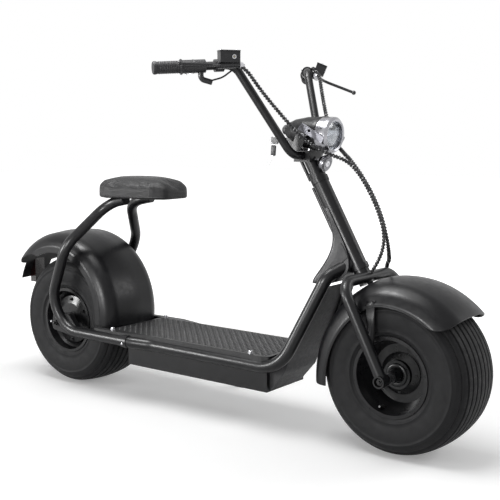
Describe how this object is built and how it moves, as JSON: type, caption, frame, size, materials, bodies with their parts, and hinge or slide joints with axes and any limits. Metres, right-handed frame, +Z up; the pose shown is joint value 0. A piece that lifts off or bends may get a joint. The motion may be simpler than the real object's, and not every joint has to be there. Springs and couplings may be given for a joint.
{
  "type": "electric chopper scooter",
  "caption": "Fat-tyre electric chopper scooter with step-through deck, swept handlebar, round headlight, full fenders, looped seat tubes and a side stand.",
  "frame": {"origin": "on the floor, under the middle of the vehicle's length and width", "axes": "+X forward, +Y to the rider's left, +Z up"},
  "size_m": [1.8281, 0.7822, 1.1204],
  "materials": {
    "frame_paint": "satin black powder coat",
    "fender_paint": "gloss black paint",
    "wheel_paint": "gloss black paint",
    "neck_plastic": "smooth moulded black",
    "grained_plastic": "grained moulded black",
    "deck_rubber": "ribbed black mat",
    "tyre_rubber": "matte black",
    "seat_leather": "grained black",
    "pan_plastic": "plain black",
    "grip_rubber": "ribbed black",
    "control_alloy": "black anodised",
    "bracket_steel": "grey satin",
    "bright_trim": "polished",
    "horn_metal": "bright",
    "lamp_glass": "clear",
    "lamp_red": "dark red lens",
    "bare_steel": "zinc plated",
    "hose_rubber": "black with spiral wrap",
    "battery_case": "plain block"
  },
  "bodies": {
    "frame": {"head_tube": "frame_paint", "rail_right": "frame_paint", "rail_left": "frame_paint", "neck_shell": "neck_plastic", "neck_cheeks": "grained_plastic", "leg_shield": "grained_plastic", "cross_members": "frame_paint", "deck_plate": "deck_rubber", "battery_box": "frame_paint", "battery_pack": "battery_case", "seat_loop_right": "frame_paint", "seat_loop_left": "frame_paint", "seat_pan": "pan_plastic", "seat_pad": "seat_leather", "rear_fender": "fender_paint", "tail_lamp": "lamp_red", "rear_axle": "bare_steel", "rear_caliper": "control_alloy"},
    "steer": {"steering_stem": "frame_paint", "fork": "frame_paint", "bar_clamp": "frame_paint", "handlebar": "frame_paint", "grips": "grip_rubber", "throttle_housing": "control_alloy", "brake_control_right": "control_alloy", "brake_control_left": "control_alloy", "headlight_shell": "fender_paint", "headlight_bezel": "bright_trim", "headlight_lens": "lamp_glass", "headlight_bracket": "bracket_steel", "horn": "horn_metal", "ignition_lock": "control_alloy", "front_fender": "fender_paint", "front_axle": "bare_steel", "front_caliper": "control_alloy", "brake_hoses": "hose_rubber", "wiring_harness": "hose_rubber"},
    "front_wheel": {"front_tyre": "tyre_rubber", "front_rim": "wheel_paint", "front_hub": "wheel_paint", "front_disc": "bare_steel"},
    "rear_wheel": {"rear_tyre": "tyre_rubber", "rear_rim": "wheel_paint", "rear_hub_motor": "wheel_paint", "rear_disc": "bare_steel"},
    "side_stand": {"side_stand": "frame_paint"}
  },
  "joints": [
    {"name": "steering", "type": "hinge", "parent": "frame", "child": "steer", "pos_m": [0.5307, 0, 0.5011], "axis": [-0.4939, 0, 0.8695], "range_deg": [-30, 30]},
    {"name": "front_wheel_spin", "type": "hinge", "parent": "steer", "child": "front_wheel", "pos_m": [0.6865, 0, 0.2285], "axis": [0, 1, 0], "continuous": true},
    {"name": "rear_wheel_spin", "type": "hinge", "parent": "frame", "child": "rear_wheel", "pos_m": [-0.6135, 0, 0.2285], "axis": [0, 1, 0], "continuous": true},
    {"name": "stand_fold", "type": "hinge", "parent": "frame", "child": "side_stand", "pos_m": [-0.1135, 0.132, 0.156], "axis": [0, 0.8345, 0.551], "range_deg": [0, 95]}
  ]
}
